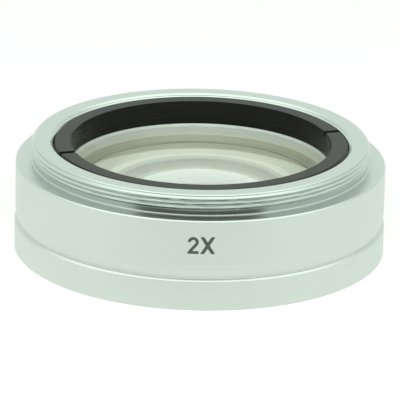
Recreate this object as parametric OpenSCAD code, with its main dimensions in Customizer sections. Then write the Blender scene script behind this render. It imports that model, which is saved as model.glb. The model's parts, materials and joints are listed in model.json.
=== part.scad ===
// Screw-in 2X auxiliary lens for a stereo microscope.
// +Z is the optical axis and points to the microscope. The origin is the middle of the base.
// Radial sizes run inwards from the mounting thread, heights run upwards from the base.

/* [Neck thread] */
// Major diameter of the mounting thread
thread_d = 48; // [40:0.5:60]
// Pitch of the mounting thread
thread_pitch = 0.635; // [0.5:0.005:1]
// Height of the neck above the shoulder
neck_h = 2.9; // [2.4:0.1:4]
// Height of the lead-in chamfer at the top of the thread
lead_h = 0.47; // [0.2:0.01:0.7]
// Width of that chamfer
lead_w = 0.4; // [0.2:0.01:0.6]
// Height of the plain shank between the thread and the shoulder
shank_h = 0.55; // [0.3:0.05:0.7]
// Metal left between the thread crests and the bore of the neck
neck_wall = 3; // [2:0.05:5]
// Chamfer at the mouth of the bore
mouth_edge = 0.5; // [0.1:0.05:0.6]

/* [Barrel] */
// Width of the shoulder outside the thread crests
shoulder_w = 2.25; // [1.5:0.05:5]
// Height of the upper band, from seam to shoulder
barrel_h = 8.45; // [7.5:0.05:12]
// Chamfer round the top edge of the upper band
barrel_edge = 0.25; // [0.1:0.05:0.6]
// Height of the shallow taper above the seam
hem_h = 1.25; // [0.4:0.05:2]
// How far that taper goes in
hem_depth = 0.3; // [0.05:0.01:0.5]
// Thickness of the wall between the two lenses, at the rear seat
septum_t = 1.75; // [1.4:0.05:3]
// Height of the plain throat at the bottom of that wall
throat_h = 0.55; // [0.4:0.05:0.8]
// Height of the square lip above its cone
seat_lip = 0.1; // [0.05:0.05:0.3]
// Radial width of the cone below the rear seat
cone_w = 1; // [0.5:0.1:2]
// Wall of the threaded spigot below the seam
spigot_wall = 3.75; // [2:0.05:5]
// Lead-in chamfer at the end of the spigot and in the cell's mouth
spigot_edge = 0.25; // [0.1:0.05:0.4]

/* [Retaining ring] */
// Width of the bore step that the ring covers, outside the rear lens
ring_step = 1.35; // [0.8:0.05:2]
// Pitch of the ring's thread
ring_pitch = 0.5; // [0.35:0.05:0.75]
// Radial width of the ring
ring_w = 2.45; // [2:0.05:4]
// Depth of the ring's face below the rim
ring_sink = 0.26; // [0.1:0.02:0.8]
// Bevel round the ring's outer top edge
ring_edge = 0.35; // [0.05:0.05:0.4]
// Width of the two spanner slots
slot_w = 0.9; // [0.5:0.1:2]
// Depth of the spanner slots
slot_depth = 0.65; // [0.3:0.05:1]
// Turn of the slots from the X axis
slot_turn = 17.5; // [0:0.5:180]

/* [Slip washer] */
// Thickness of the washer between ring and glass
washer_t = 0.22; // [0.1:0.01:0.5]

/* [Rear lens] */
// Thickness at the ground edge
rear_edge = 4.4; // [4:0.1:5.5]
// Width of the flat ring that the lens stands on
rear_seat_w = 1.8; // [1:0.1:3]
// Radius of the lower face
rear_face_r = 240; // [150:5:500]
// Radius of the cemented faces
rear_cement_r = 100; // [90:1:160]
// Thickness of the upper glass on the axis
rear_flint_mid = 1.2; // [0.8:0.1:2]

/* [Spacer ring] */
// Width of the flat top of the spacer
spacer_flat_w = 2.2; // [1:0.1:3]
// Width of the bevel down to the aperture
spacer_bevel_w = 1.6; // [0.8:0.1:2.5]
// Drop of that bevel
spacer_bevel_h = 0.8; // [0.4:0.05:1]
// Thickness of the flange clamped under the wall of the barrel
flange_t = 1.1; // [0.8:0.05:1.6]
// Height of the spacer above that flange
spacer_rise = 0.3; // [0.1:0.05:0.5]

/* [Front lens] */
// Width of the flat ring under the spacer
front_seat_w = 2; // [1:0.1:3]
// Thickness at the ground edge
front_edge = 4.2; // [3.6:0.05:5]
// Radius of the upper face
front_face_r = 160; // [100:5:400]
// Radius of the cemented faces
front_cement_r = 60; // [50:1:120]
// Thickness of the lower glass on the axis
front_flint_mid = 1.1; // [0.8:0.1:1.6]

/* [Front cell] */
// Height of the lower band
cell_h = 4.55; // [4:0.05:7]
// How far the lower band stands proud of the upper one
cell_proud = 0.08; // [0:0.01:0.4]
// Width of the bevel round the top edge of the lower band
cell_edge_w = 0.4; // [0.1:0.05:0.6]
// Height of that bevel
cell_edge_h = 0.3; // [0.1:0.05:0.6]
// Chamfer round the foot
foot_edge = 0.25; // [0.1:0.05:0.6]
// Thickness of the lip under the front lens
lip_t = 0.7; // [0.5:0.05:1.2]
// Width of that lip
lip_w = 2.8; // [1:0.1:4]
// Chamfer at the front opening
opening_edge = 0.15; // [0.05:0.05:0.4]
// Thickness of the floor under the thread groove
floor_t = 1.2; // [0.8:0.1:2]
// Wall of the boss round the front lens
boss_wall = 3.15; // [1.5:0.05:4]
// Pitch of the thread between cell and barrel
cell_pitch = 0.75; // [0.5:0.05:1]

/* [Seam shim] */
// Thickness of the shim in the seam
shim_t = 0.15; // [0.1:0.01:0.4]
// How far the shim stays back from the foot of the upper band
shim_inset = 0.1; // [0.05:0.05:0.5]

/* [Clearances] */
// Radial play of the screw threads
thread_play = 0.05; // [0.02:0.01:0.1]
// Radial play round each lens
lens_play = 0.05; // [0.02:0.01:0.1]
// Radial play round the spacer, the boss and the shim
slip_play = 0.1; // [0.05:0.01:0.2]
// Radial play round the slip washer
washer_play = 0.15; // [0.05:0.01:0.3]
// Gap left in front of a face that must not bottom out
end_gap = 0.1; // [0.05:0.05:0.2]

/* [Hidden] */
$fn = 192;
// Steps in a full circle of a lens face
arc_fn = 2400;

aluminium = [0.80, 0.83, 0.80];
pale_aluminium = [0.84, 0.85, 0.80];
black_anodised = [0.16, 0.17, 0.16];
white_film = [0.86, 0.88, 0.86];
crown_glass = [0.80, 0.88, 0.84, 0.45];
flint_glass = [0.86, 0.88, 0.76, 0.45];

// Heights
front_top = lip_t + front_edge;
flange_top = front_top + flange_t;
rear_seat = flange_top + septum_t;
rear_top = rear_seat + rear_edge;
washer_top = rear_top + washer_t;
step_z = rear_top - 2 * end_gap;
seam = cell_h + shim_t;
shoulder = seam + barrel_h;
rim = shoulder + neck_h;
ring_top = rim - ring_sink;
spigot_end = floor_t + end_gap;
spacer_top = flange_top + spacer_rise;
boss_top = front_top - 2 * end_gap;

// Radii, from the mounting thread inwards
thread_r = thread_d / 2;
neck_bore_r = thread_r - neck_wall;
rear_bore_r = neck_bore_r - ring_step;
rear_r = rear_bore_r - lens_play;
ring_r = neck_bore_r - thread_play;
ring_bore_r = ring_r - ring_w;
seat_r = rear_r - rear_seat_w;
throat_r = seat_r - cone_w;
spacer_r = throat_r - slip_play;
spacer_flat_r = spacer_r - spacer_flat_w;
aperture_r = spacer_flat_r - spacer_bevel_w;

// Radii, from the aperture outwards
front_r = aperture_r + front_seat_w;
opening_r = front_r - lip_w;
pocket_r = front_r + lens_play;
boss_r = pocket_r + boss_wall;
spigot_bore_r = boss_r + slip_play;
spigot_r = spigot_bore_r + spigot_wall;
cell_bore_r = spigot_r + thread_play;
band_r = thread_r + shoulder_w;
cell_r = band_r + cell_proud;

// Height of a spherical face over a circle of radius r
function sag(face_r, r) = face_r - sqrt(face_r * face_r - r * r);

// Curved caps inside the flat seats of the two lenses
rear_cap_r = seat_r - slip_play;
rear_cap_h = sag(rear_face_r, rear_cap_r);
front_cap_r = aperture_r - slip_play;
front_cap_h = sag(front_face_r, front_cap_r);

// Where the caps root inside their glass, clear of the cemented faces
rear_cap_foot = rear_seat + end_gap;
front_cap_foot = front_top - end_gap;

// Thread form: depth, half width at the crest and half width at the root, in pitches
groove_depth = 0.613;
groove_half = 0.42;
groove_root = 0.06;

// Outlines of thread grooves, cut into a wall at radius r. inward is 1 on a shaft and -1 in a bore.
module grooves(r, top, bottom, pitch, inward) {
    over = groove_half * pitch / 4;
    for (z = [top : -pitch : bottom])
        polygon([
            [r + inward * over, z + groove_half * pitch + over],
            [r, z + groove_half * pitch],
            [r - inward * groove_depth * pitch, z + groove_root * pitch],
            [r - inward * groove_depth * pitch, z - groove_root * pitch],
            [r, z - groove_half * pitch],
            [r + inward * over, z - groove_half * pitch - over],
        ]);
}

// A flat ring between two radii and two heights
module flat_ring(inner_r, outer_r, z0, z1) {
    rotate_extrude()
        polygon([[inner_r, z0], [outer_r, z0], [outer_r, z1], [inner_r, z1]]);
}

// Half section of a lens blank between two flat heights
module blank(r, z0, z1) {
    translate([0, z0])
        square([r, z1 - z0]);
}

// Section of a spherical face that bulges up to height z on the axis, with the glass under it
module dome(face_r, z) {
    translate([0, z - face_r])
        circle(r = face_r, $fn = arc_fn);
}

// Section of a spherical face that bulges down to height z on the axis, with the glass over it
module bowl(face_r, z) {
    translate([0, z + face_r])
        circle(r = face_r, $fn = arc_fn);
}

module front_cell() {
    color(aluminium)
        rotate_extrude()
            difference() {
                polygon([
                    [opening_r + opening_edge, 0],
                    [cell_r - foot_edge, 0],
                    [cell_r, foot_edge],
                    [cell_r, cell_h - cell_edge_h],
                    [cell_r - cell_edge_w, cell_h],
                    [cell_bore_r + spigot_edge, cell_h],
                    [cell_bore_r, cell_h - spigot_edge],
                    [cell_bore_r, floor_t],
                    [boss_r, floor_t],
                    [boss_r, boss_top],
                    [pocket_r, boss_top],
                    [pocket_r, lip_t],
                    [opening_r, lip_t],
                    [opening_r, opening_edge],
                ]);
                grooves(cell_bore_r, cell_h - spigot_edge - cell_pitch / 2,
                        floor_t + cell_pitch, cell_pitch, -1);
            }
}

module front_flint() {
    color(flint_glass)
        rotate_extrude()
            difference() {
                blank(front_r, lip_t, front_top);
                bowl(front_cement_r, lip_t + front_flint_mid);
            }
}

module front_crown() {
    color(crown_glass)
        rotate_extrude() {
            intersection() {
                blank(front_r, lip_t, front_top);
                bowl(front_cement_r, lip_t + front_flint_mid);
            }
            intersection() {
                blank(front_cap_r, front_cap_foot, front_top + front_cap_h);
                dome(front_face_r, front_top + front_cap_h);
            }
        }
}

module spacer_ring() {
    color(pale_aluminium)
        rotate_extrude()
            polygon([
                [aperture_r, front_top],
                [boss_r, front_top],
                [boss_r, flange_top],
                [spacer_r, flange_top],
                [spacer_r, spacer_top],
                [spacer_flat_r, spacer_top],
                [aperture_r, spacer_top - spacer_bevel_h],
            ]);
}

module seam_shim() {
    color(pale_aluminium)
        flat_ring(cell_bore_r + spigot_edge + slip_play, band_r - hem_depth - shim_inset, cell_h, seam);
}

module barrel() {
    color(aluminium)
        rotate_extrude()
            difference() {
                polygon([
                    [spigot_r - spigot_edge, spigot_end],
                    [spigot_r, spigot_end + spigot_edge],
                    [spigot_r, seam],
                    [band_r - hem_depth, seam],
                    [band_r, seam + hem_h],
                    [band_r, shoulder - barrel_edge],
                    [band_r - barrel_edge, shoulder],
                    [thread_r, shoulder],
                    [thread_r, rim - lead_h],
                    [thread_r - lead_w, rim],
                    [neck_bore_r + mouth_edge, rim],
                    [neck_bore_r, rim - mouth_edge],
                    [neck_bore_r, step_z],
                    [rear_bore_r, step_z],
                    [rear_bore_r, rear_seat],
                    [seat_r, rear_seat],
                    [seat_r, rear_seat - seat_lip],
                    [throat_r, flange_top + throat_h],
                    [throat_r, flange_top],
                    [spigot_bore_r, flange_top],
                    [spigot_bore_r, spigot_end],
                ]);
                grooves(thread_r, rim - lead_h + thread_pitch / 2,
                        shoulder + shank_h + groove_half * thread_pitch, thread_pitch, 1);
                grooves(neck_bore_r, rim - mouth_edge - ring_pitch / 3, step_z + ring_pitch, ring_pitch, -1);
                grooves(spigot_r, seam - cell_pitch,
                        spigot_end + spigot_edge + cell_pitch / 2, cell_pitch, 1);
            }
}

module rear_crown() {
    color(crown_glass)
        rotate_extrude() {
            intersection() {
                blank(rear_r, rear_seat, rear_top);
                dome(rear_cement_r, rear_top - rear_flint_mid);
            }
            intersection() {
                blank(rear_cap_r, rear_seat - rear_cap_h, rear_cap_foot);
                bowl(rear_face_r, rear_seat - rear_cap_h);
            }
        }
}

module rear_flint() {
    color(flint_glass)
        rotate_extrude()
            difference() {
                blank(rear_r, rear_seat, rear_top);
                dome(rear_cement_r, rear_top - rear_flint_mid);
            }
}

module slip_washer() {
    color(white_film)
        flat_ring(ring_bore_r, neck_bore_r - washer_play, rear_top, washer_top);
}

module retaining_ring() {
    color(black_anodised)
        difference() {
            rotate_extrude()
                difference() {
                    polygon([
                        [ring_bore_r, washer_top],
                        [ring_r, washer_top],
                        [ring_r, ring_top - ring_edge],
                        [ring_r - ring_edge, ring_top],
                        [ring_bore_r, ring_top],
                    ]);
                    grooves(ring_r, ring_top - ring_edge - ring_pitch / 2,
                            washer_top + ring_pitch / 2, ring_pitch, 1);
                }
            rotate(slot_turn)
                translate([-thread_r, -slot_w / 2, ring_top - slot_depth])
                    cube([thread_d, slot_w, neck_h]);
        }
}

front_cell();
front_flint();
front_crown();
spacer_ring();
seam_shim();
barrel();
rear_crown();
rear_flint();
slip_washer();
retaining_ring();
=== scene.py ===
import json
import math
from collections import namedtuple

import bmesh
import bpy
from mathutils import Matrix, Vector


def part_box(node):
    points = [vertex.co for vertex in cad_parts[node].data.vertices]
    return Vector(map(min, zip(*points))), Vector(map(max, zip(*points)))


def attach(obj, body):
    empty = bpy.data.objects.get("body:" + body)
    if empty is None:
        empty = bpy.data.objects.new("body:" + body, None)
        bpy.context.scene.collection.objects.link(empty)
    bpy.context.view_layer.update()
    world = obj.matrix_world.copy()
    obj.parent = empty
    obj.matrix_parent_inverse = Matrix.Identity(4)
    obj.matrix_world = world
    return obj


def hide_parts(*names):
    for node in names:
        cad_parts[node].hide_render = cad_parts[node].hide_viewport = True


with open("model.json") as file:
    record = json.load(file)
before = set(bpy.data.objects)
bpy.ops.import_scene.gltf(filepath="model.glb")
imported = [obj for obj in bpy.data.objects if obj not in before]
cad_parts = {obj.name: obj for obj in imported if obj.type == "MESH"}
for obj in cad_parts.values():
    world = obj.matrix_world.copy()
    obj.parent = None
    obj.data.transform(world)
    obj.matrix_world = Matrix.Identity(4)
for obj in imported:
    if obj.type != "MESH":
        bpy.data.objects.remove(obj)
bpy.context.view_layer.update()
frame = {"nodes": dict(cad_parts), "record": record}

# Front cell: the lower band of the lens. A cup turned from aluminium bar, bead-blasted and
# clear anodised, that holds the front lens and screws up onto the spigot of the barrel.
MM = 0.001
cell_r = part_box("front_cell")[1].x / MM
cell_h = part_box("seam_shim")[0].z / MM
cell_edge_w = 0.4
cell_edge_h = 0.3
foot_edge = 0.25
lip_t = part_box("front_flint")[0].z / MM
opening_r = 12.1
opening_edge = 0.15
pocket_r = 14.95
boss_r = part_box("spacer_ring")[1].x / MM
boss_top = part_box("front_cell")[1].z / MM
cell_floor = 1.2
cell_bore_r = 22.0
cell_pitch = 0.75
spigot_edge = 0.25
edge_ease = 0.05
wall_margin = 0.1
flat_margin = 0.01


class Flow:
    """A value on its way through a node tree. Sums on it add Math nodes."""

    def __init__(self, tree, socket=None):
        self.tree = tree
        self.socket = socket

    def node(self, kind, sockets=None, out=0, **settings):
        """Adds a node: first its settings, then the values or flows of its sockets."""
        made = self.tree.nodes.new(kind)
        for name, value in settings.items():
            setattr(made, name, value)
        for key, value in (sockets or {}).items():
            self.feed(made.inputs[key], value)
        return Flow(self.tree, made.outputs[out])

    def feed(self, socket, value):
        """Sets a socket to a plain value, or links a flow to it."""
        if isinstance(value, Flow):
            self.tree.links.new(value.socket, socket)
        else:
            socket.default_value = value

    def other(self, out):
        """Another output of the node that this value comes from."""
        return Flow(self.tree, self.socket.node.outputs[out])

    def math(self, operation, *values):
        return self.node("ShaderNodeMath", dict(enumerate(values)), operation=operation)

    def __add__(self, value):
        return self.math("ADD", self, value)

    def __radd__(self, value):
        return self.math("ADD", value, self)

    def __sub__(self, value):
        return self.math("SUBTRACT", self, value)

    def __rsub__(self, value):
        return self.math("SUBTRACT", value, self)

    def __mul__(self, value):
        return self.math("MULTIPLY", self, value)

    def __rmul__(self, value):
        return self.math("MULTIPLY", value, self)

    def __truediv__(self, value):
        return self.math("DIVIDE", self, value)


# The groove of a screw thread: where in the pitch its middle lies, its half width and its depth,
# all as shares of the pitch
groove_phase = 0.5
groove_half = 0.32
groove_depth = 0.5


def rolling_tree():
    """Geometry nodes that roll a half section round the axis and cut its screw threads."""
    weld = 0.001 * MM
    tree = bpy.data.node_groups.new("rolled_section", "GeometryNodeTree")
    for name, kind in (
        ("Section", "Geometry"),
        ("Columns", "Int"),
        ("Groove half width", "Float"),
        ("Groove start", "Float"),
        ("Finish", "Material"),
    ):
        tree.interface.new_socket(name, in_out="INPUT", socket_type="NodeSocket" + kind)
    tree.interface.new_socket("Piece", in_out="OUTPUT", socket_type="NodeSocketGeometry")
    given = tree.nodes.new("NodeGroupInput")
    section, columns, half_width, start, finish = (Flow(tree, socket) for socket in given.outputs[:5])

    # One grid column for each facet round the axis, one grid row for each point of the section
    rows = section.node("GeometryNodeAttributeDomainSize", {"Geometry": section}, component="MESH")
    sheet = rows.node("GeometryNodeMeshGrid", {"Vertices X": columns + 1, "Vertices Y": rows})
    index = rows.node("GeometryNodeInputIndex")
    row = rows.math("MODULO", index, rows)
    turn = (index - row) / rows / columns

    def parts(field):
        """The X, Y and Z of a vector that each row takes from its point of the section."""
        taken = field.node(
            "GeometryNodeSampleIndex",
            {"Geometry": section, "Value": field, "Index": row},
            data_type="FLOAT_VECTOR",
        )
        x = taken.node("ShaderNodeSeparateXYZ", {0: taken}, out="X")
        return x, x.other("Y"), x.other("Z")

    radius, _, height = parts(rows.node("GeometryNodeInputPosition"))
    depth, pitch, slack = parts(
        rows.node("GeometryNodeInputNamedAttribute", {"Name": "thread"}, data_type="FLOAT_VECTOR")
    )

    # A right-hand helix: the groove climbs one pitch in each turn
    phase = rows.math("FRACT", height / pitch - turn + start)
    away = rows.math("ABSOLUTE", phase - groove_phase)
    groove = rows.node(
        "ShaderNodeMapRange",
        {"Value": away, "From Min": half_width, "From Max": 0.0, "To Min": 0.0, "To Max": 1.0},
    )
    cut = rows.math("MAXIMUM", rows.math("ABSOLUTE", depth) * groove - slack, 0.0)
    radius = radius - cut * rows.math("SIGN", depth)

    angle = turn * math.tau
    x = radius * rows.math("COSINE", angle)
    y = radius * rows.math("SINE", angle)
    rolled = rows.node("ShaderNodeCombineXYZ", {"X": x, "Y": y, "Z": height})
    piece = sheet.node("GeometryNodeSetPosition", {"Geometry": sheet, "Position": rolled})
    piece = piece.node("GeometryNodeMergeByDistance", {"Geometry": piece, "Distance": weld})
    piece = piece.node("GeometryNodeRealizeInstances", {"Geometry": piece})
    piece = piece.node("GeometryNodeSetMaterial", {"Geometry": piece, "Material": finish})
    end = tree.nodes.new("NodeGroupOutput")
    tree.links.new(piece.socket, end.inputs["Piece"])
    return tree


rolled_section = rolling_tree()
facets = 240
thread_step = 0.035
thread_reach = 1.2
thread_margin = 0.001

# A screw thread cut along a wall between two heights. side is 1 on a shaft and -1 in a bore. The
# groove deepens over run_in from its lower end and fades over run_out to its upper end. It cuts
# walls within thread_reach pitches of the crest.
Thread = namedtuple("Thread", "crest low high pitch side run_in run_out")


def eased(corners, steps=3):
    """Rows (r, z) of a closed section: each corner (r, z, ease) is rounded off over its ease."""
    rows = []
    for i, (r, z, ease) in enumerate(corners):
        here = Vector((r, z))
        if not ease:
            rows.append(here)
            continue
        back = Vector(corners[i - 1][:2]) - here
        on = Vector(corners[(i + 1) % len(corners)][:2]) - here
        start = here + back.normalized() * min(ease, back.length / 2)
        end = here + on.normalized() * min(ease, on.length / 2)
        for k in range(steps + 1):
            t = k / steps
            rows.append(start * (1 - t) ** 2 + here * 2 * t * (1 - t) + end * t**2)
    return rows + rows[:1]


def thread_at(point, threads):
    """The thread that covers a point of a section, or None."""
    for thread in threads:
        near = abs(point.x - thread.crest) < thread_reach * thread.pitch
        if near and thread.low - thread_margin <= point.y <= thread.high + thread_margin:
            return thread
    return None


def close_rows(rows, threads):
    """The rows of a section, with more of them where a thread is cut."""
    out = rows[:1]
    for here, on in zip(rows, rows[1:]):
        both = thread_at(here, threads) and thread_at(on, threads)
        count = math.ceil((on - here).length / thread_step) if both else 1
        out += [here.lerp(on, k / count) for k in range(1, count + 1)]
    return out


def thread_values(point, threads):
    """Signed depth, pitch and slack of the groove at a point of a section, in metres."""
    thread = thread_at(point, threads)
    if not thread:
        return 0.0, 1.0, 0.0
    fade = 1.0
    if thread.run_in:
        fade = min(fade, (point.y - thread.low) / thread.run_in)
    if thread.run_out:
        fade = min(fade, (thread.high - point.y) / thread.run_out)
    depth = groove_depth * thread.pitch * max(fade, 0.0)
    slack = max(thread.side * (thread.crest - point.x), 0.0)
    return thread.side * depth * MM, thread.pitch * MM, slack * MM


def as_piece(name, source):
    """A plain piece with the mesh that another object has once its modifiers are applied."""
    seen = source.evaluated_get(bpy.context.evaluated_depsgraph_get())
    mesh = bpy.data.meshes.new_from_object(seen)
    mesh.name = name
    bpy.data.objects.remove(source)
    piece = bpy.data.objects.new(name, mesh)
    bpy.context.scene.collection.objects.link(piece)
    return piece


def tidy_shell(mesh, sharp_deg):
    """Turns the faces outwards and shades them smooth, apart from edges past an angle."""
    shell = bmesh.new()
    shell.from_mesh(mesh)
    bmesh.ops.recalc_face_normals(shell, faces=shell.faces)
    shell.to_mesh(mesh)
    shell.free()
    mesh.shade_smooth()
    mesh.set_sharp_from_angle(angle=math.radians(sharp_deg))


def turned(name, rows, finish, threads=(), start=0.0, sharp_deg=40):
    """A piece turned on a lathe: a half section in mm, rolled round the axis."""
    rows = close_rows(rows, threads)
    wire = bpy.data.meshes.new(name + "_section")
    edges = [(i, i + 1) for i in range(len(rows) - 1)]
    wire.from_pydata([(p.x * MM, 0, p.y * MM) for p in rows], edges, [])
    values = wire.attributes.new("thread", "FLOAT_VECTOR", "POINT")
    for item, point in zip(values.data, rows):
        item.vector = thread_values(point, threads)
    section = bpy.data.objects.new(name + "_section", wire)
    bpy.context.scene.collection.objects.link(section)
    roll = section.modifiers.new("roll", "NODES")
    roll.node_group = rolled_section
    sockets = {item.name: item.identifier for item in rolled_section.interface.items_tree}
    roll[sockets["Columns"]] = facets
    roll[sockets["Groove half width"]] = groove_half
    roll[sockets["Groove start"]] = start
    roll[sockets["Finish"]] = finish
    piece = as_piece(name, section)
    piece.data.materials.pop(index=0)
    tidy_shell(piece.data, sharp_deg)
    return piece


def evened(piece):
    """Lets the broad faces set the shading of the narrow eased edges beside them."""
    name = piece.name
    piece.name = name + "_raw"
    weigh = piece.modifiers.new("even", "WEIGHTED_NORMAL")
    weigh.weight = 100
    weigh.keep_sharp = True
    return as_piece(name, piece)


def new_finish(name, **constants):
    """A new material with its node maker and its shader, with the constant sockets set."""
    made = bpy.data.materials.new(name)
    made.use_nodes = True
    shader = made.node_tree.nodes["Principled BSDF"]
    for socket, value in constants.items():
        shader.inputs[socket.replace("_", " ")].default_value = value
    return made, Flow(made.node_tree), shader


def own_place(flow):
    """Where a point lies on its piece."""
    return flow.node("ShaderNodeTexCoord", out="Object")


def lathe_rings(flow, place):
    """A place told by its radius and height alone, so it is the same all round the axis."""
    flat = flow.node("ShaderNodeVectorMath", {0: place, 1: (1, 1, 0)}, operation="MULTIPLY")
    radius = flow.node("ShaderNodeVectorMath", {0: flat}, operation="LENGTH", out="Value")
    height = flow.node("ShaderNodeSeparateXYZ", {0: place}, out="Z")
    return flow.node("ShaderNodeCombineXYZ", {"X": radius, "Z": height})


def noise(flow, place, per_mm, detail=2.0):
    """Noise from 0 to 1 with about so many lumps to the millimetre."""
    return flow.node("ShaderNodeTexNoise", {"Vector": place, "Scale": per_mm / MM, "Detail": detail})


def between(flow, share, low, high):
    """A colour between two colours."""
    mix = flow.tree.nodes.new("ShaderNodeMix")
    mix.data_type = "RGBA"
    for name, value in (("A", low), ("B", high)):
        socket = next(s for s in mix.inputs if s.name == name and s.type == "RGBA")
        socket.default_value = (*value, 1)
    flow.feed(mix.inputs["Factor"], share)
    return Flow(flow.tree, next(s for s in mix.outputs if s.type == "RGBA"))


def roughen(flow, shader, roughness, lines, grain, line_spread, grain_spread):
    """Lets tool lines and grain, both from 0 to 1, spread the roughness about its level."""
    uneven = roughness + (lines - 0.5) * line_spread + (grain - 0.5) * grain_spread
    flow.feed(shader.inputs["Roughness"], uneven)


def emboss(flow, shader, relief):
    """Bumps a finish by a height in mm."""
    bump = flow.node("ShaderNodeBump", {"Strength": 1.0, "Distance": MM, "Height": relief})
    flow.feed(shader.inputs["Normal"], bump)


def turned_metal(name, low, high, roughness, line_depth, grain_depth, metallic=1.0):
    """Metal with the fine rings of a lathe tool and the grain of bead blasting."""
    line_share = 0.25
    grain_share = 0.45
    cloud_share = 0.3
    made, flow, shader = new_finish(name, Metallic=metallic)
    place = own_place(flow)
    lines = noise(flow, lathe_rings(flow, place), per_mm=9.0)
    grain = noise(flow, place, per_mm=7.0)
    cloud = noise(flow, place, per_mm=0.15, detail=3.0)
    share = lines * line_share + grain * grain_share + cloud * cloud_share
    flow.feed(shader.inputs["Base Color"], between(flow, share, low, high))
    roughen(flow, shader, roughness, lines, grain, line_spread=0.12, grain_spread=0.1)
    emboss(flow, shader, lines * line_depth + grain * grain_depth)
    return made


def refinish(piece, finish, covers):
    """Gives another finish to faces that a rule covers, by their middle's radius and height in mm."""
    piece.data.materials.append(finish)
    for face in piece.data.polygons:
        if covers(face.center.to_2d().length / MM, face.center.z / MM):
            face.material_index = len(piece.data.materials) - 1


bare_sheen = 0.35
turned_grey = ((0.575, 0.605, 0.595), (0.66, 0.69, 0.68))
blasted = turned_metal(
    "blasted_aluminium",
    (0.69, 0.70, 0.69),
    (0.785, 0.795, 0.785),
    roughness=0.4,
    line_depth=0.0006,
    grain_depth=0.002,
)
bright = turned_metal(
    "bright_turned_aluminium",
    *turned_grey,
    roughness=0.2,
    line_depth=0.001,
    grain_depth=0.0003,
)
matt = turned_metal(
    "bare_aluminium",
    (0.91, 0.91, 0.77),
    (0.97, 0.97, 0.86),
    roughness=0.7,
    line_depth=0.0015,
    grain_depth=0.001,
    metallic=bare_sheen,
)
cell_rows = eased([
    (opening_r + opening_edge, 0, 0),
    (cell_r - foot_edge, 0, edge_ease),
    (cell_r, foot_edge, edge_ease),
    (cell_r, cell_h - cell_edge_h, edge_ease),
    (cell_r - cell_edge_w, cell_h, edge_ease),
    (cell_bore_r + spigot_edge, cell_h, 0),
    (cell_bore_r, cell_h - spigot_edge, 0),
    (cell_bore_r, cell_floor, 0),
    (boss_r, cell_floor, 0),
    (boss_r, boss_top, 0),
    (pocket_r, boss_top, 0),
    (pocket_r, lip_t, 0),
    (opening_r, lip_t, edge_ease),
    (opening_r, opening_edge, 0),
])
cell_thread = Thread(cell_bore_r, cell_floor, cell_h, cell_pitch, side=-1, run_in=0, run_out=0)
cell = evened(turned("front_cell_turned", cell_rows, bright, [cell_thread]))
refinish(cell, blasted, lambda r, z: r > cell_r - wall_margin)
refinish(cell, matt, lambda r, z: r < boss_r - wall_margin and z > flat_margin)
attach(cell, "front_cell")
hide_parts("front_cell")


# Front lens: a crown and a flint glass cemented to one block, polished on its faces and ground
# dull round its edge. It stands on the lip of the cell under the spacer ring.
cap_steps = 24
contact_gap = 0.01
edge_chamfer = 0.12
front_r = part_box("front_flint")[1].x / MM
front_low = lip_t + contact_gap
front_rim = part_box("spacer_ring")[0].z / MM - contact_gap
front_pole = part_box("front_crown")[1].z / MM - contact_gap
front_cap_r = 12.8
front_face_r = 160


def cap_rows(r, pole, face_r):
    """Rows of a spherical face from its pole out to radius r. It hangs if face_r is negative."""
    rows = []
    for k in range(cap_steps + 1):
        out = r * k / cap_steps
        above_centre = math.copysign(math.sqrt(face_r**2 - out**2), face_r)
        rows.append(Vector((out, pole - face_r + above_centre)))
    return rows


def glass(name, ior, tint):
    """Polished lens glass with a breath of uneven coating."""
    made, flow, shader = new_finish(name, Transmission_Weight=1.0, IOR=ior, Roughness=0.0)
    coating = noise(flow, own_place(flow), per_mm=0.08, detail=1.0)
    flow.feed(shader.inputs["Base Color"], between(flow, coating, tint, (1.0, 1.0, 1.0)))
    return made


def ground_glass(name, low, high):
    """The dull fine-ground edge of a lens."""
    made, flow, shader = new_finish(name, Roughness=0.9)
    place = own_place(flow)
    pits = noise(flow, place, per_mm=14.0, detail=3.0)
    wheel = noise(flow, lathe_rings(flow, place), per_mm=5.0)
    flow.feed(shader.inputs["Base Color"], between(flow, (pits + wheel) / 2, low, high))
    return made


def doublet(name, rows, finish, edge_finish):
    """A cemented lens: polished glass, with the ground finish on its edge."""
    lens = turned(name, rows, finish, sharp_deg=4)
    edge_from = max(p.x for p in rows) - 2 * edge_chamfer
    refinish(lens, edge_finish, lambda r, z: r > edge_from)
    return lens


front_glass = glass("front_glass", ior=1.62, tint=(0.985, 0.995, 0.975))
front_rows = (
    cap_rows(front_cap_r, front_pole, front_face_r)
    + [Vector(p) for p in (
        (front_r - edge_chamfer, front_rim),
        (front_r, front_rim - edge_chamfer),
        (front_r, front_low + edge_chamfer),
        (front_r - edge_chamfer, front_low),
        (0, front_low),
    )]
)
frosted = ground_glass("ground_edge", (0.97, 0.97, 0.96), (1.0, 1.0, 1.0))
front_lens = doublet("front_doublet", front_rows, front_glass, frosted)
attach(front_lens, "front_cell")
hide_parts("front_flint", "front_crown")


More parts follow.
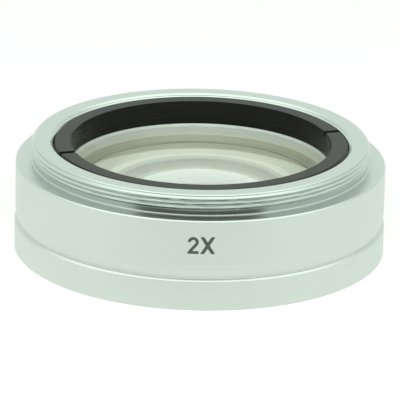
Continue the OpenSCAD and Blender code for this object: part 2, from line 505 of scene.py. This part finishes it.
# Spacer ring: bare aluminium, turned fine, clamped between the front lens and the barrel's
# septum. Its bevelled mouth is the pale stepped ring that shows through the rear lens.
spacer_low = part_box("spacer_ring")[0].z / MM
spacer_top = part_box("spacer_ring")[1].z / MM
spacer_rise = 0.3
flange_top = spacer_top - spacer_rise
spacer_neck_r = 16.7
spacer_flat_r = 14.5
aperture_r = 12.9
bevel_drop = 0.8
pale_metal = turned_metal(
    "fine_turned_aluminium",
    (0.80, 0.80, 0.69),
    (0.87, 0.87, 0.76),
    roughness=0.6,
    line_depth=0.002,
    grain_depth=0.0006,
    metallic=bare_sheen,
)
spacer_rows = eased([
    (aperture_r, spacer_low, 0),
    (boss_r, spacer_low, 0),
    (boss_r, flange_top, 0),
    (spacer_neck_r, flange_top, 0),
    (spacer_neck_r, spacer_top, edge_ease),
    (spacer_flat_r, spacer_top, edge_ease),
    (aperture_r, spacer_top - bevel_drop, edge_ease),
])
spacer = evened(turned("spacer_turned", spacer_rows, pale_metal))
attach(spacer, "front_cell")
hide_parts("spacer_ring")


# Seam shim: a thin ring punched from bare aluminium sheet, that sets the gap of the lenses. Its
# edge shows in the fine line between the two bands.
shim_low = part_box("seam_shim")[0].z / MM
shim_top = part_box("seam_shim")[1].z / MM
shim_proud = 0.08
shim_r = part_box("seam_shim")[1].x / MM + shim_proud
shim_hole_r = 22.35
sheet_metal = turned_metal(
    "aluminium_sheet",
    (0.74, 0.74, 0.73),
    (0.80, 0.80, 0.79),
    roughness=0.6,
    line_depth=0.001,
    grain_depth=0.0006,
    metallic=bare_sheen,
)
shim_rows = eased([
    (shim_hole_r, shim_low, 0),
    (shim_r, shim_low, 0),
    (shim_r, shim_top, 0),
    (shim_hole_r, shim_top, 0),
])
shim = turned("shim_punched", shim_rows, sheet_metal)
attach(shim, "seam_shim")
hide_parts("seam_shim")


# Barrel: the main body, turned in one piece from aluminium bar, with a bead-blasted band, and clear
# anodised. Its neck has a relieved shank and the mounting thread, its mouth the thread of the ring
# and its spigot the thread of the cell.
mounts = {mount["name"]: mount for mount in frame["record"]["mounts"]}
thread_r = mounts["neck_thread"]["dims"]["r_mm"]
band_r = mounts["outer_band"]["dims"]["r_mm"]
shoulder = mounts["shoulder"]["pos_m"][2] / MM
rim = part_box("barrel")[1].z / MM
spigot_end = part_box("barrel")[0].z / MM
seam = shim_top
thread_pitch = 0.635
thread_run_in = 0.06
thread_run_out = 0.25
lead_h = 0.47
lead_w = 0.4
lead_nick = (0.26, 0.46)
shank_h = 0.9
shank_depth = 0.15
shank_r = thread_r - shank_depth
shank_top = shoulder + shank_h - shank_depth
foot_ease = 0.16
neck_bore_r = 21.0
mouth_edge = 0.5
mouth_nick = (0.50, 0.58)
mouth_run_out = 0.25
face_cut = 0.05
face = shoulder - face_cut
barrel_edge = 0.2
hem_h = 1.25
hem_depth = 0.3
scribe_h = 1.78
scribe_z = seam + scribe_h
scribe_half = 0.13
scribe_depth = 0.04
ring_pitch = 0.5
step_drop = 0.2
lens_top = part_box("rear_flint")[1].z / MM
step_z = lens_top - step_drop
rear_bore_r = 19.65
rear_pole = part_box("rear_crown")[0].z / MM
rear_cap_r = 17.7
rear_face_r = 240
rear_face = cap_rows(rear_cap_r, rear_pole, -rear_face_r)
rear_seat = rear_face[-1].y
seat_r = 17.8
seat_lip = 0.1
throat_r = 16.8
throat_h = 0.55
spigot_bore_r = 18.2
spigot_r = 21.95
spigot_plain = 0.3
spigot_run_out = 0.6
facet_sag = 0.02
ledge_margin = 0.5

# Where the mounting thread starts, so that a groove passes the front just under the rim
front_turn = 0.75
front_groove = 0.15
thread_start = groove_phase + front_turn - (rim - front_groove) / thread_pitch


def nicked(start, end, low, high):
    """Corners of a chamfer, with a tool nick in it from one share of its width to another."""
    start, end = Vector(start), Vector(end)
    before, after = start.lerp(end, low), start.lerp(end, high)
    return [(*p, ease) for p, ease in (
        (start, edge_ease),
        (before, 0),
        ((before.x, after.y), 0),
        (after, 0),
        (end, 0),
    )]


lead = nicked((thread_r - lead_w, rim), (thread_r, rim - lead_h), *lead_nick)
mouth = nicked((neck_bore_r + mouth_edge, rim), (neck_bore_r, rim - mouth_edge), *mouth_nick)
barrel_rows = eased([
    (spigot_r - spigot_edge, spigot_end, 0),
    (spigot_r, spigot_end + spigot_edge, 0),
    (spigot_r, seam - spigot_plain, 0),
    (spigot_r, seam, 0),
    (band_r - hem_depth, seam, edge_ease),
    (band_r - scribe_depth, seam + hem_h, edge_ease),
    (band_r - scribe_depth, scribe_z - scribe_half, edge_ease),
    (band_r, scribe_z + scribe_half, edge_ease),
    (band_r, face - barrel_edge, edge_ease),
    (band_r - barrel_edge, face, edge_ease),
    (shank_r, face, foot_ease),
    (shank_r, shank_top - edge_ease, 0),
    (shank_r, shank_top, 0),
    (thread_r, shoulder + shank_h, 0),
    *reversed(lead),
    *mouth,
    (neck_bore_r, step_z, 0),
    (rear_bore_r, step_z, 0),
    (rear_bore_r, rear_seat, 0),
    (seat_r, rear_seat, edge_ease),
    (seat_r, rear_seat - seat_lip, 0),
    (throat_r, flange_top + throat_h, edge_ease),
    (throat_r, flange_top, 0),
    (spigot_bore_r, flange_top, 0),
    (spigot_bore_r, spigot_end, 0),
])
# Matt aluminium for the throat under the rear lens, coloured far darker than the other bare metal
# inside: painted shade
dull = turned_metal(
    "throat_aluminium_painted_shade",
    (0.56, 0.56, 0.47),
    (0.64, 0.64, 0.54),
    roughness=0.7,
    line_depth=0.0015,
    grain_depth=0.001,
    metallic=bare_sheen,
)
faced = turned_metal(
    "faced_aluminium",
    *turned_grey,
    roughness=0.37,
    line_depth=0.001,
    grain_depth=0.0003,
)
# Smooth turned aluminium for the shank, coloured darker than the other turned metal: painted shade in
# the recess under the thread
smooth = turned_metal(
    "smooth_aluminium_painted_shade",
    (0.52, 0.55, 0.54),
    (0.60, 0.63, 0.62),
    roughness=0.09,
    line_depth=0.0004,
    grain_depth=0.0001,
)
barrel_threads = [
    Thread(thread_r, shank_top, rim - lead_h, thread_pitch, 1, thread_run_in, thread_run_out),
    Thread(neck_bore_r, step_z, rim - mouth_edge, ring_pitch, -1, 0, mouth_run_out),
    Thread(spigot_r, spigot_end, seam - spigot_plain, cell_pitch, 1, 0, spigot_run_out),
]
barrel = evened(turned("barrel_turned", barrel_rows, bright, barrel_threads, thread_start))
blasted_from = band_r - hem_depth - facet_sag
refinish(barrel, blasted, lambda r, z: r > blasted_from and z < face - barrel_edge)
refinish(barrel, faced, lambda r, z: r > thread_r + foot_ease and abs(z - face) < flat_margin)
# The shank, recessed under the thread, takes the darker colour of painted shade
refinish(barrel, smooth, lambda r, z: abs(r - shank_r) < facet_sag and face < z < shank_top)
refinish(barrel, matt, lambda r, z: r < neck_bore_r - ledge_margin and z < step_z + flat_margin)
# The throat under the rear lens takes the darker colour of painted shade
refinish(barrel, dull, lambda r, z: r < seat_r and flange_top < z < rear_seat - seat_lip)
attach(barrel, "barrel")
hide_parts("barrel")


# Power mark: the magnification, printed in dark ink on the front of the barrel. The figures are
# flat outlines, bent round the band and given the thickness of the ink.
mark_drop = 3.56
mark_height = shoulder - mark_drop
mark_right = 0.36
cap_height = 2.46
ink = 0.02
ink_lift = ink / 4
ink_weld = 0.0005
longest_edge = 0.25
figure_w = 1.55
figure_gap = 0.21
cross_w = 2.06


def arc(centre, radius, start_deg, end_deg, steps=14):
    """Points of an arc from one angle to another."""
    out = []
    for k in range(steps + 1):
        angle = math.radians(start_deg + (end_deg - start_deg) * k / steps)
        out.append((centre[0] + radius * math.cos(angle), centre[1] + radius * math.sin(angle)))
    return out


def figure_two(width, height):
    """Outline of a plain bold 2: a bow, a sloping stem and a foot."""
    stroke = 0.43
    bow_inset = 0.02
    bow_r = width / 2 - bow_inset
    bow = (width - bow_r, height - bow_r)
    tip_deg = 182
    outer_deg = -28
    inner_deg = -38
    foot = 0.41
    crook = 0.66
    foot_corners = [(crook, foot), (width, foot), (width, 0), (0, 0)]
    stem = [(0.02, 0.16), (0.12, 0.38), (0.30, 0.62)]
    outer = arc(bow, bow_r, tip_deg, outer_deg)
    inner = arc(bow, bow_r - stroke, inner_deg, tip_deg)
    return outer + foot_corners + stem + inner


def cross(width, height):
    """Outline of a plain bold X: two bars of one thickness."""
    bar = 0.53
    waist = 0.285
    rise = 0.47
    middle = (width / 2, height / 2)
    quarter = [(0, 0), (bar, 0), (middle[0], middle[1] - rise)]
    right = [(width - x, y) for x, y in reversed(quarter[:2])]
    lower = quarter + right
    upper = [(x, height - y) for x, y in reversed(lower)]
    return lower + [(middle[0] + waist, middle[1])] + upper + [(middle[0] - waist, middle[1])]


def figure_plate(outline, offset):
    """A flat outline as a thin plate of ink, moved along the mark."""
    flat = bpy.data.curves.new("figure", "CURVE")
    flat.dimensions = "2D"
    flat.fill_mode = "BOTH"
    flat.extrude = ink * MM / 2
    spline = flat.splines.new("POLY")
    spline.points.add(len(outline) - 1)
    for point, (x, y) in zip(spline.points, outline):
        point.co = ((x + offset) * MM, (y - cap_height / 2) * MM, 0, 1)
    spline.use_cyclic_u = True
    holder = bpy.data.objects.new("figure", flat)
    bpy.context.scene.collection.objects.link(holder)
    return as_piece("figure_plate", holder)


def ink_finish(name, low, high):
    """Dull dark ink, a little thin in places."""
    made, flow, shader = new_finish(name, Roughness=0.6)
    thinning = noise(flow, own_place(flow), per_mm=6.0, detail=3.0)
    flow.feed(shader.inputs["Base Color"], between(flow, thinning, low, high))
    return made


mark_w = figure_w + figure_gap + cross_w
plates = [
    figure_plate(figure_two(figure_w, cap_height), -mark_w / 2),
    figure_plate(cross(cross_w, cap_height), figure_w + figure_gap - mark_w / 2),
]
mark_mesh = bpy.data.meshes.new("power_mark")
mark = bpy.data.objects.new("power_mark", mark_mesh)
bpy.context.scene.collection.objects.link(mark)
shell = bmesh.new()
for plate in plates:
    shell.from_mesh(plate.data)
    bpy.data.objects.remove(plate)
bmesh.ops.remove_doubles(shell, verts=shell.verts, dist=ink_weld * MM)
long_edges = [edge for edge in shell.edges if edge.calc_length() > longest_edge * MM]
bmesh.ops.subdivide_edges(shell, edges=long_edges, cuts=3)
bmesh.ops.triangulate(shell, faces=shell.faces)
for vert in shell.verts:
    out = band_r * MM + vert.co.z + ink_lift * MM
    angle = (vert.co.x + mark_right * MM) / (band_r * MM)
    vert.co = Vector((out * math.sin(angle), -out * math.cos(angle), mark_height * MM + vert.co.y))
shell.to_mesh(mark_mesh)
shell.free()
tidy_shell(mark_mesh, sharp_deg=30)
mark_mesh.materials.clear()
mark_mesh.materials.append(ink_finish("mark_ink", (0.055, 0.063, 0.054), (0.085, 0.095, 0.083)))
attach(mark, "barrel")


# Rear lens: a crown and a flint glass cemented to one block, flat above, that stands on the ledge
# in the barrel under the ring. Its edge, ground dull and tapered at the foot, shows through it.
rear_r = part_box("rear_flint")[1].x / MM
rear_top = lens_top - contact_gap
rear_rim = rear_seat + contact_gap
taper_h = 1.6
taper_w = 0.38
rear_glass = glass("rear_glass", ior=1.52, tint=(0.975, 0.995, 0.98))
rear_rows = (
    [Vector(p) for p in (
        (0, rear_top),
        (rear_r - edge_chamfer, rear_top),
        (rear_r, rear_top - edge_chamfer),
        (rear_r, rear_rim + taper_h),
        (rear_r - taper_w, rear_rim),
    )]
    + [p + Vector((0, contact_gap)) for p in reversed(rear_face)]
)
rear_lens = doublet("rear_doublet", rear_rows, rear_glass, frosted)
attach(rear_lens, "barrel")
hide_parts("rear_flint", "rear_crown")


# Slip washer: a thin white acetal washer between ring and glass, so that the ring doesn't drag
# on the lens as it is screwed down.
def film(name, low, high, roughness):
    """Punched plastic film with a faint haze."""
    spread = 0.2
    made, flow, shader = new_finish(name)
    haze = noise(flow, own_place(flow), per_mm=3.0, detail=3.0)
    flow.feed(shader.inputs["Base Color"], between(flow, haze, low, high))
    flow.feed(shader.inputs["Roughness"], roughness + (haze - 0.5) * spread)
    return made


washer = frame["nodes"]["slip_washer"]
acetal = film("white_film", (0.68, 0.72, 0.68), (0.78, 0.82, 0.78), roughness=0.5)
washer.material_slots[0].material = acetal


# Retaining ring: turned aluminium, black anodised, screwed into the mouth of the neck with a
# spanner that fits the two slots in its face.
ring_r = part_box("retaining_ring")[1].x / MM
ring_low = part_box("retaining_ring")[0].z / MM
ring_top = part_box("retaining_ring")[1].z / MM
ring_bore_r = 18.5
ring_edge = 0.35
slot_w = 0.9
slot_depth = 0.65
slot_turn_deg = 17.5


def black_anodised(name, low, high, roughness, line_depth, grain_depth):
    """Black dyed anodising over fine turned metal."""
    made, flow, shader = new_finish(name, IOR=1.45, Specular_IOR_Level=0.17)
    place = own_place(flow)
    lines = noise(flow, lathe_rings(flow, place), per_mm=7.0)
    grain = noise(flow, place, per_mm=12.0)
    flow.feed(shader.inputs["Base Color"], between(flow, (lines + grain) / 2, low, high))
    roughen(flow, shader, roughness, lines, grain, line_spread=0.15, grain_spread=0.1)
    emboss(flow, shader, lines * line_depth + grain * grain_depth)
    return made


black = black_anodised(
    "black_anodised",
    (0.009, 0.009, 0.008),
    (0.017, 0.017, 0.015),
    roughness=0.3,
    line_depth=0.0015,
    grain_depth=0.0008,
)
ring_rows = eased([
    (ring_bore_r, ring_low, 0),
    (ring_r, ring_low, 0),
    (ring_r, ring_top - ring_edge, 0),
    (ring_r - ring_edge, ring_top, edge_ease),
    (ring_bore_r, ring_top, edge_ease),
])
ring_thread = Thread(ring_r, ring_low, ring_top - ring_edge, ring_pitch, side=1, run_in=0, run_out=0)
ring_blank = turned("ring_blank", ring_rows, black, [ring_thread])
bpy.ops.mesh.primitive_cube_add(size=1)
cutter = bpy.context.object
cutter.data.transform(
    Matrix.Rotation(math.radians(slot_turn_deg), 4, "Z")
    @ Matrix.Translation((0, 0, ring_top * MM))
    @ Matrix.Diagonal((3 * ring_r * MM, slot_w * MM, 2 * slot_depth * MM, 1))
)
cutter.data.materials.append(black)
slots = ring_blank.modifiers.new("slots", "BOOLEAN")
slots.object = cutter
slots.operation = "DIFFERENCE"
slots.solver = "EXACT"
ring = as_piece("ring_turned", ring_blank)
bpy.data.objects.remove(cutter)
tidy_shell(ring.data, sharp_deg=40)
ring = evened(ring)
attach(ring, "retaining_ring")
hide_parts("retaining_ring")


# Studio: a white floor, a white sky for what the camera, the metal and the glass see, with the
# dark of the room behind the camera, and soft light at a plain level from two hidden boxes.
plain_level = 0.2
tube_light = (0.885, 1.0, 0.895)
room_dark = 0.99
room_once = 0.5
twice_from = 1.5
room_rise = math.radians(15)
room_inner = math.cos(math.radians(40))
room_outer = math.cos(math.radians(45))
camera_glow = 0.8
mirror_glow = 0.9
lens_glow = 0.88
shade_place = (0, -0.085, 0)
shade_outer = 0.075
shade_inner = 0.02
shade_depth = 0.33
overhead_rise = 0.63
overhead_low = math.sin(math.radians(30))
overhead_high = math.sin(math.radians(58))
floor_half = 3.0
floor_drop = 0.02
floor_glow = 1.08
paper_white = (0.95, 0.95, 0.95, 1)


def climb(flow, value, start, end, top):
    """Climbs smoothly from 0 where a value is at start, to top where it is at end."""
    return flow.node(
        "ShaderNodeMapRange",
        {"Value": value, "From Min": start, "From Max": end, "To Max": top},
        interpolation_type="SMOOTHSTEP",
    )


world = bpy.data.worlds.new("studio")
bpy.context.scene.world = world
world.use_nodes = True
sky = Flow(world.node_tree)
backdrop = world.node_tree.nodes["Background"]
toward = sky.node("ShaderNodeTexCoord", out="Generated")
to_room = sky.node(
    "ShaderNodeVectorMath",
    {0: toward, 1: (0, -math.cos(room_rise), math.sin(room_rise))},
    operation="DOT_PRODUCT",
    out="Value",
)
room = climb(sky, to_room, room_outer, room_inner, room_dark)
up = sky.node("ShaderNodeSeparateXYZ", {0: toward}, out="Z")
overhead = climb(sky, up, overhead_low, overhead_high, overhead_rise)
ray = sky.node("ShaderNodeLightPath", out="Is Camera Ray")
mirrored = ray.other("Is Glossy Ray") * (1 - ray.other("Is Transmission Ray"))

# The room is dark in full only for light that has been mirrored twice
twice = sky.math("GREATER_THAN", ray.other("Glossy Depth"), twice_from)
room = room * (room_once + (1 - room_once) * twice)
shown = sky.math("MAXIMUM", ray, ray.other("Is Glossy Ray"))
strength = plain_level + (1 - plain_level) * shown + mirrored * (overhead - room)
sky.feed(backdrop.inputs["Strength"], strength)
sky.feed(backdrop.inputs["Color"], between(sky, ray, tube_light, (1, 1, 1)))

floor_mesh = bpy.data.meshes.new("floor")
sides = [(-1, -1), (1, -1), (1, 1), (-1, 1)]
corners = [(x * floor_half, y * floor_half, -floor_drop * MM) for x, y in sides]
floor_mesh.from_pydata(corners, [], [(0, 1, 2, 3)])
floor = bpy.data.objects.new("floor", floor_mesh)
bpy.context.scene.collection.objects.link(floor)
white, paper, paper_shader = new_finish("white_paper", Base_Color=paper_white, Roughness=0.9)
ray = paper.node("ShaderNodeLightPath", out="Is Camera Ray")
glow_colour = between(paper, ray, tube_light, (1, 1, 1))
glow = paper.node("ShaderNodeEmission", {"Color": glow_colour, "Strength": floor_glow})

# The floor in front is shaded, but only as the metal mirrors it
off = paper.node(
    "ShaderNodeVectorMath",
    {0: own_place(paper), 1: shade_place},
    operation="DISTANCE",
    out="Value",
)
shade = climb(paper, off, shade_outer, shade_inner, shade_depth)
through = ray.other("Is Transmission Ray")
mirrored = ray.other("Is Glossy Ray") * (1 - through)
share = ray * camera_glow + mirrored * (mirror_glow - shade) + through * lens_glow
mixed = paper.node(
    "ShaderNodeMixShader",
    {0: share, 1: Flow(white.node_tree, paper_shader.outputs[0]), 2: glow},
)
paper.feed(white.node_tree.nodes["Material Output"].inputs["Surface"], mixed)
floor_mesh.materials.append(white)


def softbox(name, place, size, level):
    """A flat lamp that faces the object and looks as bright as level times white."""
    lamp = bpy.data.lights.new(name, "AREA")
    lamp.shape = "RECTANGLE"
    lamp.size, lamp.size_y = size
    lamp.energy = level * math.pi * size[0] * size[1]
    lamp.color = tube_light
    box = bpy.data.objects.new(name, lamp)
    box.location = place
    box.rotation_euler = (-Vector(place)).to_track_quat("-Z", "Y").to_euler()
    box.visible_glossy = False
    bpy.context.scene.collection.objects.link(box)


softbox("top_box", place=(0.0, -0.1, 0.7), size=(1.2, 0.45), level=0.5)
softbox("front_box", place=(0.0, -0.56, 0.5), size=(0.9, 0.4), level=5.0)


# Camera: a long lens at the photograph's place, tilted so that the middle of the shoulder falls
# where the photograph has it.
photo_side = 400
focal_px = 5009.2
shoulder_px = (200.65, 159.41)
distance = 0.7113
elevation = math.radians(18.806)
lean = math.radians(1.27)
view = bpy.data.cameras.new("photo_camera")
view.sensor_width = 36
view.lens = focal_px * view.sensor_width / photo_side
view.clip_start = 0.01
camera = bpy.data.objects.new("photo_camera", view)
bpy.context.scene.collection.objects.link(camera)
ahead = Vector((0, math.cos(elevation), -math.sin(elevation)))
down_tilt = math.atan((photo_side / 2 - shoulder_px[1]) / focal_px)
left_turn = math.atan((shoulder_px[0] - photo_side / 2) / focal_px)
camera.matrix_world = (
    Matrix.Translation(Vector((0, 0, shoulder * MM)) - ahead * distance)
    @ Matrix.Rotation(math.pi / 2 - elevation, 4, "X")
    @ Matrix.Rotation(lean, 4, "Z")
    @ Matrix.Rotation(-down_tilt, 4, "X")
    @ Matrix.Rotation(left_turn, 4, "Y")
)
bpy.context.scene.camera = camera
bpy.context.scene.view_settings.view_transform = "Standard"
